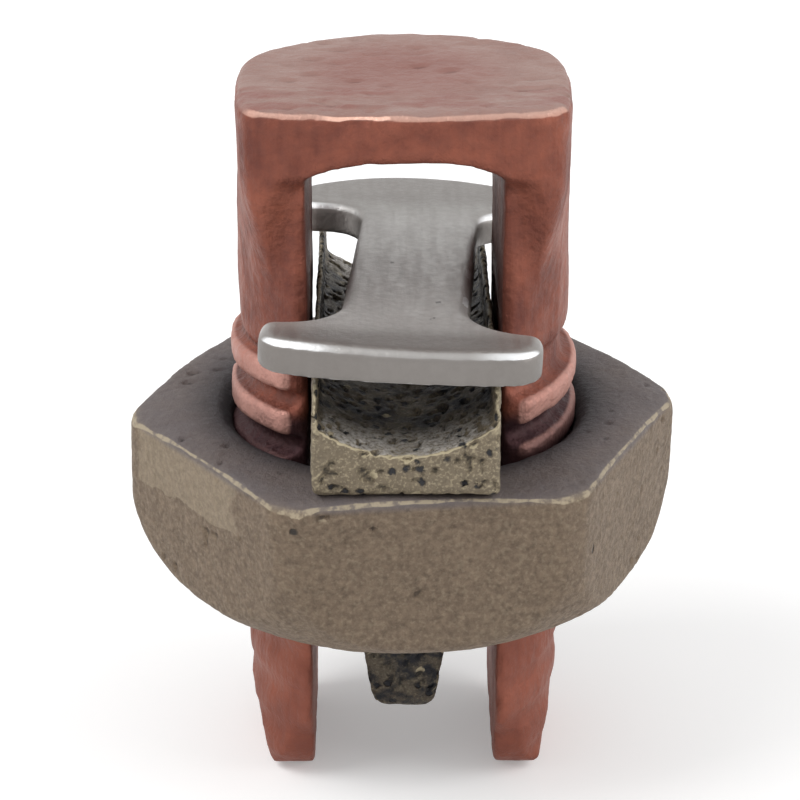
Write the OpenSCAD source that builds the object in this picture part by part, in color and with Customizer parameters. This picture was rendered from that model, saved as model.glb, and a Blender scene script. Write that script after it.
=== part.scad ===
// Split bolt connector with a spacer plate, for one run and one tap conductor.
// Frame: the bolt's axis is Z, its two leg ends stand on z = 0, and the
// conductors lie along Y, one above and one below the spacer plate.
// All lengths are in millimetres and all angles in degrees.

/* [Split bolt] */
// Diameter of the plain shank
shank_d = 21.2; // [20.4:0.1:21.8]
// Diameter over the thread crests
thread_d = 22.2; // [22:0.1:23.6]
// Depth of the thread below its crests
thread_depth = 1.05; // [0.6:0.05:1.4]
// Distance from one thread turn to the next
thread_pitch = 3; // [2.4:0.1:3.6]
// Width of the flat land on each crest
crest_w = 0.9; // [0.5:0.1:1.2]
// Height of the first full thread above the leg ends
thread_len = 29.1; // [26:0.1:31]
// Clear width between the two legs
slot_w = 11.9; // [10.6:0.1:12.6]
// Height of the closed end of the slot above the leg ends
slot_h = 43.5; // [41:0.1:48]
// Radius of the two corners at the closed end of the slot
slot_corner_r = 3.2; // [1.5:0.1:4.5]
// Thickness of the bridge that joins the legs
bridge_t = 3.15; // [2.4:0.05:6]
// Width of the eased edge along the bridge's underside
bridge_edge = 0.7; // [0.4:0.1:1.2]
// Width of each leg along the conductors
leg_w = 15.8; // [15:0.1:16.4]
// Radius of the upright inner corners of the legs
leg_corner_r = 0.8; // [0.4:0.1:1.4]
// Height over which the leg ends taper
taper_h = 9; // [5:0.5:11]
// Radius lost by the taper at the leg ends
taper_in = 1.1; // [0.4:0.05:1.4]
// Radius of the outer edge at the foot of each leg
leg_end_r = 1.2; // [0.4:0.1:1.4]
// Radius of the inner edge at the foot of each leg
leg_foot_r = 0.7; // [0.3:0.1:1]
// Width of each leg just above its nose, along the conductors
leg_nose_w = 13.2; // [11:0.1:15]
// Radius of the nose at the foot of each leg, seen from the side
leg_nose_r = 3.6; // [1:0.1:4.5]
// Depth of the head from front to back
head_depth = 19.1; // [18.6:0.1:20.5]
// Radius of the slightly curved front of the head
head_front_r = 45; // [30:1:80]
// Radius of the round back of the head
head_back_r = 12.2; // [11.8:0.1:14]
// Width of the head across its two forged sides
head_w = 20.3; // [19.8:0.1:21]
// Diameter over the head's four upright corners
head_corner_d = 26; // [24.5:0.1:27]
// Height below the slot's corners at which the legs start to widen to the head
leg_flare_h = 2; // [1:0.5:5]
// Radius of the edge round the top of the head
head_edge_r = 0.8; // [0.5:0.1:1.6]

/* [Nut] */
// Distance across the flats at the top of the nut
nut_af = 31.7; // [30.5:0.1:34]
// Diameter over the nut's rounded corners
nut_corner_d = 35.4; // [34.6:0.1:36]
// Height of the nut
nut_h = 11.65; // [10:0.05:13]
// Height of the nut's underside above the leg ends
nut_z = 13.1; // [11.5:0.1:15]
// Turn of the nut about the bolt's axis
nut_turn = 5.5; // [-30:0.5:30]
// Casting draft of the nut's six sides
nut_draft = 1.8; // [0:0.1:3]
// Width of the flat ring left round the bore on the underside
nut_base_land = 2.2; // [1:0.1:3]
// Slope of the underside's cone
nut_cone_angle = 50; // [35:1:56]
// How far the cone swells out at its middle
nut_belly = 0.45; // [0:0.05:0.8]
// Width of the countersink round the top of the bore
countersink_w = 0.9; // [0.4:0.1:1.4]
// Drop of the nut's top edge at its corners
nut_top_drop = 0.45; // [0.1:0.05:0.8]
// Radial clearance between the nut and the thread crests
bore_clear = 0.08; // [0.05:0.01:0.1]

/* [Pressure bar] */
// Length of the bar along the conductors
bar_len = 31.8; // [28:0.1:34]
// Gap between each side of the bar and the leg beside it
bar_side_gap = 0.35; // [0.3:0.05:0.6]
// Thickness of the bar under its groove
bar_web = 2.8; // [2:0.1:5]
// Depth of the groove in the bar
groove_depth = 4.5; // [3.6:0.1:5.5]
// Radius of the groove's curved floor
groove_r = 8.5; // [6:0.5:20]
// Thickness of the thin lips beside the groove
lip_t = 0.4; // [0.3:0.05:0.8]
// Radius of the bar's lower end corners
bar_corner_r = 0.9; // [0.3:0.1:1.5]
// Radius of the bar's upper end corners, where its lips end
bar_mouth_r = 2.4; // [0.5:0.1:3]
// Width of the stem
stem_w = 5.4; // [5:0.1:8]
// Depth of the stem, along the conductors
stem_depth = 8; // [6:0.1:10]
// Width of the stem at its tip
stem_tip_w = 3.7; // [3.3:0.1:4.9]
// Height over which the stem tapers to its tip
stem_taper_h = 5; // [3:0.5:9]
// Length of the stem below the bar
stem_len = 21.7; // [18:0.1:22]
// Radius of the corners of the stem's tip
stem_tip_r = 1.3; // [0.6:0.1:1.6]
// Running gap between the bar and the nut's top face
seat_gap = 0.05; // [0.03:0.01:0.1]

/* [Spacer plate] */
// Thickness of the plate
plate_t = 2.1; // [1.4:0.05:2.6]
// Width of the plate's two wide ends
plate_w = 16.9; // [14:0.1:19]
// Depth of the front wide end along the conductors
plate_front_depth = 4.4; // [3.8:0.1:7.5]
// Depth of the rear wide end along the conductors
plate_rear_depth = 7.2; // [4.5:0.1:8]
// Gap between the plate's neck and the leg on each side
neck_gap = 2.05; // [1.5:0.05:3]
// Gap between the legs and the front wide end, along the conductors
front_notch_gap = 4.1; // [1.7:0.1:4.7]
// Gap between the legs and the rear wide end, along the conductors
rear_notch_gap = 1.6; // [1.5:0.1:2.7]
// Radius of the inner corners between the neck and the front wide end
front_notch_r = 3.6; // [1:0.1:3.6]
// Radius of the front wide end's corners nearest the legs
front_shoulder_r = 0.9; // [0.4:0.1:0.9]
// Radius of the inner corners between the neck and the rear wide end
rear_notch_r = 2.2; // [1:0.1:2.4]
// Radius of the outer corners of the wide ends
plate_corner_r = 2.1; // [0.8:0.1:2.2]
// Radius of the curved outline of the plate's rear end
plate_rear_r = 12.5; // [11:0.5:30]
// Radius of the curved outline of the plate's front end
plate_front_r = 40; // [25:0.5:80]
// Radius of the plate's upper end edges
plate_edge_r = 0.9; // [0.3:0.1:1.2]
// Turn of the loose plate about the bolt's axis
plate_turn = -3.8; // [-5:0.1:5]
// Lean of the loose plate to one side
plate_tilt = 2.2; // [0:0.1:2.5]
// Sideways place of the loose plate between the legs
plate_shift = 0.55; // [-0.8:0.05:0.8]
// Running gap under the plate's lower side
plate_gap = 0.05; // [0.03:0.01:0.1]

/* [Hidden] */

$fn = 96;
past = 1; // how far a cutter runs past the face that it cuts
throat_step = 0.1; // ledge between each leg's front and the eased bridge edge
side_clear = 0.1; // how far the dressed sides stay outside the plain shank

shank_r = shank_d / 2;
crest_r = thread_d / 2;
root_r = crest_r - thread_depth;
head_half = head_depth / 2;
head_corner_r = head_corner_d / 2;
slot_half = slot_w / 2;

bolt_h = slot_h + bridge_t;

flank_w = thread_depth * tan(30);
thread_top = thread_len + crest_w / 2 + flank_w;
thread_turns = floor(thread_len / thread_pitch);

throat_z = slot_h - slot_corner_r;
leg_root = slot_corner_r / 4;
leg_reach = leg_w / 2;

bore_r = crest_r + bore_clear;
nut_base_r = bore_r + nut_base_land;
nut_corner_r = nut_corner_d / 2;
nut_top = nut_z + nut_h;

bar_z = nut_top + seat_gap;
bar_w = slot_w - 2 * bar_side_gap;
bar_h = bar_web + groove_depth;
stem_root_sink = bar_web / 2;

neck_w = slot_w - 2 * neck_gap;
front_notch = leg_reach + front_notch_gap;
rear_notch = leg_reach + rear_notch_gap;
plate_front = front_notch + plate_front_depth;
plate_rear = rear_notch + plate_rear_depth;
plate_z = bar_z + bar_h + plate_gap + bar_w / 2 * tan(plate_tilt);

// ---------------------------------------------------------------- split bolt

// Plan of both legs before they are turned: the slot is open between them, and
// the upright corners beside it are rounded.
module leg_plan() {
    round_x = slot_half + leg_corner_r;
    round_y = leg_reach - leg_corner_r;
    for (side = [0, 1]) mirror([side, 0]) {
        translate([slot_half, -round_y]) square([2 * crest_r, 2 * round_y]);
        translate([round_x, -leg_reach]) square([2 * crest_r, 2 * leg_reach]);
        for (end = [-1, 1]) translate([round_x, end * round_y]) circle(leg_corner_r);
    }
}

// One thread turn as a closed ring round the axis, crest outwards.
module thread_ring() {
    root_half = crest_w / 2 + flank_w;
    rotate_extrude() polygon([
        [root_r - 1, -root_half], [root_r, -root_half], [crest_r, -crest_w / 2],
        [crest_r, crest_w / 2], [root_r, root_half], [root_r - 1, root_half]
    ]);
}

// The turns that one leg carries, as level rings. The right-hand helix rises by
// half its pitch from one leg to the other, and so do the rings.
module leg_thread(side) {
    first = thread_len - (side > 0 ? thread_pitch / 2 : 0);
    intersection() {
        union() for (turn = [0 : thread_turns - 1])
            translate([0, 0, first - turn * thread_pitch]) thread_ring();
        translate([side > 0 ? 0 : -2 * crest_r, -2 * crest_r, -thread_pitch])
            cube([2 * crest_r, 4 * crest_r, thread_top + 2 * thread_pitch]);
    }
}

// Turned outline of the tapered and rounded leg ends, as a solid of revolution.
module leg_end_envelope() {
    end_r = shank_r - taper_in;
    widening = (crest_r - end_r) / (taper_h - leg_end_r);
    rotate_extrude() union() {
        square([end_r - leg_end_r, leg_end_r]);
        translate([end_r - leg_end_r, leg_end_r]) intersection() {
            circle(leg_end_r);
            translate([0, -leg_end_r]) square(leg_end_r);
        }
        polygon([
            [0, leg_end_r], [end_r, leg_end_r],
            [end_r + widening * (bolt_h - leg_end_r), bolt_h], [0, bolt_h]
        ]);
    }
}

// Outline of the legs seen across the slot, with a rounded nose at the foot.
module leg_nose_envelope() {
    nose_half = leg_nose_w / 2 - leg_nose_r;
    widening = (crest_r - leg_nose_w / 2) / (taper_h - leg_nose_r);
    top_half = leg_nose_w / 2 + widening * (bolt_h - leg_nose_r);
    rotate([90, 0, 90]) linear_extrude(4 * crest_r, center = true) {
        translate([-nose_half, 0]) square([2 * nose_half, bolt_h]);
        for (end = [-1, 1]) translate([end * nose_half, leg_nose_r]) circle(leg_nose_r);
        polygon([
            [-leg_nose_w / 2, leg_nose_r], [leg_nose_w / 2, leg_nose_r],
            [top_half, bolt_h], [-top_half, bolt_h]
        ]);
    }
}

// Rounds the inner edge at the foot of each leg, along the slot.
module leg_inner_foot() {
    for (side = [0, 1]) mirror([side, 0, 0])
        translate([slot_half, 0, 0]) rotate([90, 0, 0])
            linear_extrude(2 * crest_r, center = true) difference() {
                translate([-past, -past]) square(leg_foot_r + past);
                translate([leg_foot_r, leg_foot_r]) circle(leg_foot_r);
            }
}

// Turned outline of the shank, widening to the head's corners.
module shank_and_head() {
    foot = thread_top - flank_w;
    rotate_extrude() polygon([
        [0, foot], [shank_r, foot], [shank_r, throat_z - leg_flare_h],
        [head_corner_r, slot_h], [head_corner_r, bolt_h], [0, bolt_h]
    ]);
}

// A round slab whose rim is the front face of the head, with its top edge eased.
module head_slab(rim_r) {
    edge_z = bolt_h - head_edge_r;
    translate([0, rim_r - head_half, 0]) rotate_extrude() {
        translate([0, throat_z]) square([rim_r, edge_z - throat_z]);
        translate([0, throat_z]) square([rim_r - head_edge_r, bolt_h - throat_z]);
        translate([rim_r - head_edge_r, edge_z]) circle(head_edge_r);
    }
}

// Front view of the bolt that dresses the head's two sides flat. It stays clear
// of the thread and of the plain shank.
module dressed_sides() {
    thread_half = crest_r + past;
    flat_z = thread_top + past;
    edge_z = bolt_h - head_edge_r;
    rotate([90, 0, 0]) linear_extrude(4 * head_corner_r, center = true) {
        translate([-thread_half, -past]) square([2 * thread_half, flat_z + past]);
        polygon([
            [-shank_r - side_clear, flat_z], [shank_r + side_clear, flat_z],
            [shank_r + side_clear, throat_z], [head_w / 2, slot_h], [head_w / 2, edge_z],
            [-head_w / 2, edge_z], [-head_w / 2, slot_h], [-shank_r - side_clear, throat_z]
        ]);
        translate([-head_w / 2 + head_edge_r, slot_h])
            square([head_w - 2 * head_edge_r, bolt_h - slot_h]);
        for (side = [-1, 1])
            translate([side * (head_w / 2 - head_edge_r), edge_z]) circle(head_edge_r);
    }
}

// Slot seen along the conductors, closed above with two rounded corners.
module slot_profile() {
    translate([-slot_half, 0]) square([slot_w, throat_z]);
    translate([-slot_half + slot_corner_r, throat_z - past])
        square([slot_w - 2 * slot_corner_r, slot_corner_r + past]);
    for (side = [-1, 1])
        translate([side * (slot_half - slot_corner_r), throat_z]) circle(slot_corner_r);
}

// Eases the bridge's lower edges, sloping out from just in front of the legs.
module throat_relief() {
    far = 2 * head_corner_r;
    start = leg_reach + throat_step;
    for (side = [0, 1]) mirror([0, side, 0])
        rotate([90, 0, 90]) linear_extrude(4 * head_corner_r, center = true)
            polygon([
                [start, throat_z - past], [start, throat_z],
                [head_half - bridge_edge, slot_h], [head_half, slot_h + bridge_edge * 0.6],
                [far, slot_h + bridge_edge * 0.6], [far, throat_z - past]
            ]);
}

// Turned blank of the bolt with its thread, before it is slotted.
module threaded_blank() {
    cylinder(h = thread_top, r = root_r);
    for (side = [-1, 1]) leg_thread(side);
    shank_and_head();
}

module split_bolt() {
    color([0.62, 0.36, 0.28]) intersection() {
        threaded_blank();
        union() {
            difference() {
                intersection() {
                    linear_extrude(throat_z + leg_root) leg_plan();
                    leg_end_envelope();
                    leg_nose_envelope();
                }
                leg_inner_foot();
            }
            difference() {
                intersection() {
                    head_slab(head_front_r);
                    mirror([0, 1, 0]) head_slab(head_back_r);
                }
                rotate([90, 0, 0]) linear_extrude(4 * head_corner_r, center = true)
                    slot_profile();
                throat_relief();
            }
        }
        dressed_sides();
    }
}

// ----------------------------------------------------------------------- nut

// Six drafted sides, widest at the nut's top.
module nut_prism() {
    reach = 3 * nut_af;
    intersection_for (i = [0 : 5])
        rotate([0, 0, nut_turn + 30 + 60 * i])
            translate([nut_af / 2, 0, nut_top]) rotate([0, nut_draft, 0])
                translate([-reach, -reach / 2, -reach / 2]) cube([reach, reach, reach]);
}

// Turned outline of the nut: cone below, rounded corners, slight drop above.
module nut_turned() {
    cone_w = nut_corner_r - nut_base_r;
    cone_h = cone_w * tan(nut_cone_angle);
    top_land_r = nut_af / 2 * 0.98;
    rotate_extrude() polygon([
        [0, nut_z], [nut_base_r, nut_z],
        [nut_base_r + cone_w / 2 + nut_belly, nut_z + cone_h / 2 - nut_belly],
        [nut_corner_r, nut_z + cone_h],
        [nut_corner_r, nut_top - nut_top_drop], [top_land_r, nut_top], [0, nut_top]
    ]);
}

module clamp_nut() {
    color([0.47, 0.41, 0.33]) difference() {
        intersection() {
            nut_prism();
            nut_turned();
        }
        translate([0, 0, nut_z - past]) cylinder(h = nut_h + 2 * past, r = bore_r);
        translate([0, 0, nut_top - countersink_w])
            cylinder(h = countersink_w + past, r1 = bore_r, r2 = bore_r + countersink_w + past);
    }
}

// -------------------------------------------------------------- pressure bar

// The bar seen across the conductors: a long block with rounded end corners.
module bar_side() {
    half = bar_len / 2;
    translate([-half, bar_corner_r]) square([bar_len, bar_h - bar_corner_r - bar_mouth_r]);
    translate([-half + bar_corner_r, 0])
        square([bar_len - 2 * bar_corner_r, bar_h - bar_mouth_r]);
    translate([-half + bar_mouth_r, bar_corner_r])
        square([bar_len - 2 * bar_mouth_r, bar_h - bar_corner_r]);
    for (end = [-1, 1]) {
        translate([end * (half - bar_corner_r), bar_corner_r]) circle(bar_corner_r);
        translate([end * (half - bar_mouth_r), bar_h - bar_mouth_r]) circle(bar_mouth_r);
    }
}

// Stem outline seen from one side: straight, then tapered to a rounded tip.
module stem_side(root_w, tip_w) {
    tip_half = tip_w / 2 - stem_tip_r;
    taper_z = stem_taper_h - stem_len;
    polygon([
        [-root_w / 2, stem_root_sink], [root_w / 2, stem_root_sink], [root_w / 2, taper_z],
        [tip_w / 2, stem_tip_r - stem_len], [-tip_w / 2, stem_tip_r - stem_len],
        [-root_w / 2, taper_z]
    ]);
    translate([-tip_half, -stem_len]) square([2 * tip_half, 2 * stem_tip_r]);
    for (side = [-1, 1])
        translate([side * tip_half, stem_tip_r - stem_len]) circle(stem_tip_r);
}

module pressure_bar() {
    color([0.55, 0.49, 0.36]) translate([0, 0, bar_z]) {
        difference() {
            rotate([90, 0, 90]) linear_extrude(bar_w, center = true) bar_side();
            intersection() {
                translate([0, 0, bar_web + groove_r]) rotate([90, 0, 0])
                    cylinder(h = bar_len + 2 * past, r = groove_r, center = true);
                translate([-bar_w / 2 + lip_t, -bar_len, 0])
                    cube([bar_w - 2 * lip_t, 2 * bar_len, 2 * bar_h]);
            }
        }
        intersection() {
            rotate([90, 0, 0]) linear_extrude(2 * stem_depth, center = true)
                stem_side(stem_w, stem_tip_w);
            rotate([90, 0, 90]) linear_extrude(2 * stem_w, center = true)
                stem_side(stem_depth, stem_depth - stem_w + stem_tip_w);
        }
    }
}

// -------------------------------------------------------------- spacer plate

// One wide end in plan, pointing along +Y, from y = near to y = tip. The end
// outline has radius end_r, the inner corners beside the neck have radius inner_r
// and the corners nearest the legs have radius near_r.
module plate_end(near, tip, end_r, inner_r, near_r) {
    intersection() {
        translate([0, tip - end_r]) circle(end_r, $fn = 240);
        union() {
            translate([-plate_w / 2, near + near_r])
                square([plate_w, tip - near - near_r - plate_corner_r]);
            translate([-plate_w / 2 + near_r, near])
                square([plate_w - 2 * near_r, tip - near - plate_corner_r]);
            translate([-plate_w / 2 + plate_corner_r, near + near_r])
                square([plate_w - 2 * plate_corner_r, tip - near - near_r]);
            for (side = [-1, 1]) {
                translate([side * (plate_w / 2 - near_r), near + near_r]) circle(near_r);
                translate([side * (plate_w / 2 - plate_corner_r), tip - plate_corner_r])
                    circle(plate_corner_r);
            }
        }
    }
    for (side = [0, 1]) mirror([side, 0]) difference() {
        translate([neck_w / 2 - past, near - inner_r])
            square([inner_r + past, inner_r + near_r / 2]);
        translate([neck_w / 2 + inner_r, near - inner_r]) circle(inner_r);
    }
}

// The whole plate in plan: two wide ends with a neck between them.
module plate_outline() {
    plate_end(rear_notch, plate_rear, plate_rear_r, rear_notch_r, plate_corner_r);
    mirror([0, 1])
        plate_end(front_notch, plate_front, plate_front_r, front_notch_r, front_shoulder_r);
    translate([-neck_w / 2, -front_notch - plate_corner_r])
        square([neck_w, front_notch + rear_notch + 2 * plate_corner_r]);
}

// The plate seen from the side, with its upper end edges rounded.
module plate_side() {
    length = plate_front + plate_rear;
    translate([-plate_front, 0]) square([length, plate_t - plate_edge_r]);
    translate([-plate_front + plate_edge_r, 0]) square([length - 2 * plate_edge_r, plate_t]);
    for (y = [-plate_front + plate_edge_r, plate_rear - plate_edge_r])
        translate([y, plate_t - plate_edge_r]) circle(plate_edge_r);
}

module spacer_plate() {
    color([0.6, 0.61, 0.6])
        translate([plate_shift, 0, plate_z]) rotate([0, plate_tilt, plate_turn])
            intersection() {
                linear_extrude(plate_t) plate_outline();
                rotate([90, 0, 90]) linear_extrude(2 * plate_w, center = true) plate_side();
            }
}

split_bolt();
clamp_nut();
pressure_bar();
spacer_plate();
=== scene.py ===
import logging
import math
from collections.abc import Callable, Iterator
from contextlib import contextmanager
from dataclasses import dataclass
from enum import Enum
from functools import reduce

import bmesh
import bpy
from mathutils import Matrix, Vector, noise


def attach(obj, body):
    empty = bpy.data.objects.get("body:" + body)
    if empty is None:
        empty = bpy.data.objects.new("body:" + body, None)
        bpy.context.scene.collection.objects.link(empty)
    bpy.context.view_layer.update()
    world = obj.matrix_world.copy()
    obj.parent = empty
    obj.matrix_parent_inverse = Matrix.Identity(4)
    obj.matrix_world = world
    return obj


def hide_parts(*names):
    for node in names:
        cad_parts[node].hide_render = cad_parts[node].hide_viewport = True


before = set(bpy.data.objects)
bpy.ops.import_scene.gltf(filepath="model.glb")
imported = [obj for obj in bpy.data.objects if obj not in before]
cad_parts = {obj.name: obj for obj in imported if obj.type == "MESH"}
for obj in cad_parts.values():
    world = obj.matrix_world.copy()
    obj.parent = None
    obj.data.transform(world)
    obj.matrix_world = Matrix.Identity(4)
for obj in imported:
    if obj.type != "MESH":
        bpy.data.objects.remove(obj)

logging.basicConfig(level=logging.INFO, format="%(name)s: %(message)s")
log = logging.getLogger("split_bolt")

MM = 0.001
CLEAR = 14.0  # millimetres, past the side of every piece that is cut
BACKDROP_RAYS = ("Camera", "Glossy", "Transmission")
FULL_TURN = 2.0 * math.pi

Point = tuple[float, float]
Span = tuple[float, float]
Colour = tuple[float, float, float]
BMesh, Object, Material = bmesh.types.BMesh, bpy.types.Object, bpy.types.Material
Socket, Node, Tree = bpy.types.NodeSocket, bpy.types.Node, bpy.types.NodeTree


class Cut(Enum):
    """How one solid is set against another."""

    KEEP = "INTERSECT"
    REMOVE = "DIFFERENCE"
    ADD = "UNION"


class Axis(Enum):
    """The direction that a prism is drawn along."""

    X = "X"
    Y = "Y"
    Z = "Z"


# ------------------------------------------------------------------ workshop


def outline(points: list[Point]) -> BMesh:
    """A flat closed outline in the XY plane, as one face.

    Args:
        points: corners in order, in millimetres.

    Returns:
        A new mesh that holds the one face.
    """
    bm = bmesh.new()
    bm.faces.new([bm.verts.new((x, y, 0.0)) for x, y in points])
    return bm


def ease(bm: BMesh, near: list[Point], radius: float, segments: int = 8) -> None:
    """Rounds corners of a flat outline.

    Args:
        bm: mesh made by outline.
        near: the corners to round, each given by a point beside it.
        radius: distance along each side at which the rounding starts.
        segments: number of edges that a rounded corner gets.
    """
    picked = [
        min(bm.verts, key=lambda v: (v.co.x - x) ** 2 + (v.co.y - y) ** 2) for x, y in near
    ]
    bmesh.ops.bevel(
        bm, geom=picked, offset=radius, offset_type="OFFSET", affect="VERTICES",
        segments=segments, profile=0.5, material=-1,
    )


def prism(bm: BMesh, low: float, high: float, along: Axis = Axis.Z) -> BMesh:
    """Draws a flat outline out into a solid.

    Args:
        bm: mesh made by outline. Its X and Y become the two cross directions.
        low: where the solid starts along the axis.
        high: where it ends.
        along: the axis. Along X the outline's X turns to Y and its Y to Z, and
            along Y its Y turns to Z.

    Returns:
        The same mesh, now a closed solid.
    """
    bmesh.ops.translate(bm, verts=bm.verts, vec=(0.0, 0.0, low))
    drawn = bmesh.ops.extrude_face_region(bm, geom=bm.faces[:], use_keep_orig=True)
    moved = [g for g in drawn["geom"] if isinstance(g, bmesh.types.BMVert)]
    bmesh.ops.translate(bm, verts=moved, vec=(0.0, 0.0, high - low))
    turn = Matrix.Identity(4)
    if along is Axis.X:
        turn = Matrix(((0, 0, 1, 0), (1, 0, 0, 0), (0, 1, 0, 0), (0, 0, 0, 1)))
    elif along is Axis.Y:
        turn = Matrix(((1, 0, 0, 0), (0, 0, -1, 0), (0, 1, 0, 0), (0, 0, 0, 1)))
    bmesh.ops.transform(bm, matrix=turn, verts=bm.verts)
    bmesh.ops.recalc_face_normals(bm, faces=bm.faces)
    return bm


def lathe(points: list[Point], steps: int = 128) -> BMesh:
    """Turns a half outline about Z into a closed solid.

    Args:
        points: (radius, height) from the foot to the top, both on the axis.
        steps: number of steps in the full turn.

    Returns:
        The turned solid.
    """
    bm = bmesh.new()
    verts = [bm.verts.new((r, 0.0, z)) for r, z in points]
    edges = [bm.edges.new(pair) for pair in zip(verts, verts[1:])]
    bmesh.ops.spin(
        bm, geom=verts + edges, cent=(0, 0, 0), axis=(0, 0, 1), dvec=(0, 0, 0),
        angle=FULL_TURN, steps=steps, use_merge=True,
    )
    bmesh.ops.remove_doubles(bm, verts=bm.verts, dist=1e-4)
    bmesh.ops.recalc_face_normals(bm, faces=bm.faces)
    return bm


def arc(centre: Point, radius: float, start: float, end: float, steps: int) -> list[Point]:
    """Points along an arc in the XY plane, from one angle to another in degrees."""
    angles = (math.radians(start + (end - start) * i / steps) for i in range(steps + 1))
    return [(centre[0] + radius * math.cos(a), centre[1] + radius * math.sin(a)) for a in angles]


def rounded_end(half: float, tip: float, end_r: float, corner_r: float) -> list[Point]:
    """A curved end between two rounded corners, from the right side to the left.

    Args:
        half: half of the width.
        tip: how far the middle of the end lies from the origin along Y.
        end_r: radius of the end's curve.
        corner_r: radius of the two corners, which run into the curve.

    Returns:
        The end's points.
    """
    spread = math.degrees(math.asin((half - corner_r) / (end_r - corner_r)))
    middle = (0.0, tip - end_r)
    up = math.cos(math.radians(spread)) * (end_r - corner_r)
    right = arc((half - corner_r, middle[1] + up), corner_r, 0.0, 90.0 - spread, 8)
    left = arc((corner_r - half, middle[1] + up), corner_r, 90.0 + spread, 180.0, 8)
    return [*right, *arc(middle, end_r, 90.0 - spread, 90.0 + spread, 20)[1:-1], *left]


def loft(reach: Callable[[float, float], float], levels: list[tuple[float, float, float]],
         steps: int = 180) -> BMesh:
    """Draws an upright solid whose plan changes with its height.

    Args:
        reach: the plan's radius towards an angle at a height.
        levels: (height, share of the radius, inset) from the foot to the top.
        steps: number of points round each plan.

    Returns:
        The closed solid.
    """
    bm = bmesh.new()
    bmesh.ops.create_circle(bm, cap_ends=True, segments=steps, radius=1.0)
    ring, cap = bm.verts[:], bm.faces[:]
    for n, (z, share, inset) in enumerate(levels):
        if n:
            edges = {e for f in cap for e in f.edges}
            drawn = bmesh.ops.extrude_face_region(bm, geom=[*cap, *edges])["geom"]
            ring = [g for g in drawn if isinstance(g, bmesh.types.BMVert)]
            cap = [g for g in drawn if isinstance(g, bmesh.types.BMFace)]
        for v in ring:
            angle = math.atan2(v.co.y, v.co.x)
            r = reach(angle, z) * share - inset
            v.co = (r * math.cos(angle), r * math.sin(angle), z)
    bmesh.ops.recalc_face_normals(bm, faces=bm.faces)
    return bm


def as_object(name: str, bm: BMesh) -> Object:
    """Puts a mesh into the scene under a name and frees the bmesh.

    Args:
        name: the object's name.
        bm: the mesh. It is used up.

    Returns:
        The new object.
    """
    mesh = bpy.data.meshes.new(name)
    bm.to_mesh(mesh)
    bm.free()
    obj = bpy.data.objects.new(name, mesh)
    bpy.context.scene.collection.objects.link(obj)
    return obj


def settle(obj: Object) -> None:
    """Replaces an object's mesh with what its modifiers make of it.

    Args:
        obj: the object.
    """
    graph = bpy.context.evaluated_depsgraph_get()
    made = bpy.data.meshes.new_from_object(obj.evaluated_get(graph))
    old = obj.data
    obj.modifiers.clear()
    obj.data = made
    bpy.data.meshes.remove(old)


def cut(obj: Object, tool: BMesh, how: Cut) -> None:
    """Sets a solid against another.

    Args:
        obj: the solid that changes.
        tool: the solid that it meets. It is used up.
        how: what is kept.
    """
    other = as_object("tool", tool)
    step = obj.modifiers.new("cut", "BOOLEAN")
    step.operation, step.solver, step.object = how.value, "EXACT", other
    settle(obj)
    discard(other)


@contextmanager
def editing(obj: Object) -> Iterator[BMesh]:
    """Opens an object's mesh as a bmesh and puts it back afterwards.

    Args:
        obj: the object.

    Yields:
        The open mesh.
    """
    bm = bmesh.new()
    bm.from_mesh(obj.data)
    yield bm
    bm.to_mesh(obj.data)
    bm.free()


def discard(obj: Object) -> None:
    """Removes an object and its mesh.

    Args:
        obj: the object.
    """
    mesh = obj.data
    bpy.data.objects.remove(obj)
    bpy.data.meshes.remove(mesh)


def round_edges(bm: BMesh, edges: list[bmesh.types.BMEdge], radius: float) -> None:
    """Rounds edges of a solid."""
    bmesh.ops.bevel(bm, geom=edges, offset=radius, offset_type="OFFSET", affect="EDGES",
                    segments=5, profile=0.5, material=-1)


def twin(obj: Object, name: str) -> Object:
    """A copy of an object with a mesh of its own.

    Args:
        obj: the object.
        name: the copy's name.

    Returns:
        The copy.
    """
    bm = bmesh.new()
    bm.from_mesh(obj.data)
    return as_object(name, bm)


def join(obj: Object, other: Object) -> None:
    """Lays a second closed solid over the first, to be fused by skin, and uses it up.

    Args:
        obj: the first solid, which then holds both.
        other: the second solid.
    """
    with editing(obj) as both:
        both.from_mesh(other.data)
    discard(other)


def skin(obj: Object, cell: float, passes: int) -> None:
    """Fuses what the object holds into one even skin and softens its edges.

    Args:
        obj: the object, in millimetres.
        cell: size of one face of the new skin.
        passes: number of smoothing passes, each of which widens the edges.
    """
    step = obj.modifiers.new("skin", "REMESH")
    step.mode, step.voxel_size, step.use_smooth_shade = "VOXEL", cell, True
    settle(obj)
    with editing(obj) as bm:
        for _ in range(passes):
            bmesh.ops.smooth_vert(
                bm, verts=bm.verts, factor=0.5, use_axis_x=True, use_axis_y=True, use_axis_z=True)


@dataclass(frozen=True)
class Relief:
    """One layer of unevenness that a forged or cast skin carries.

    Fields: size of a lump and its greatest height, both in millimetres, a seed,
    and how far the pattern is drawn out along Z.
    """

    lump: float
    height: float
    seed: float = 0.0
    drawn_out: float = 1.0

    def at(self, p: Vector) -> float:
        """Height of the layer at a point, in millimetres."""
        q = Vector((p.x, p.y, p.z / self.drawn_out)) / self.lump
        return self.height * noise.noise(q + Vector((self.seed, 7.3 * self.seed, 3.1)))


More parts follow.
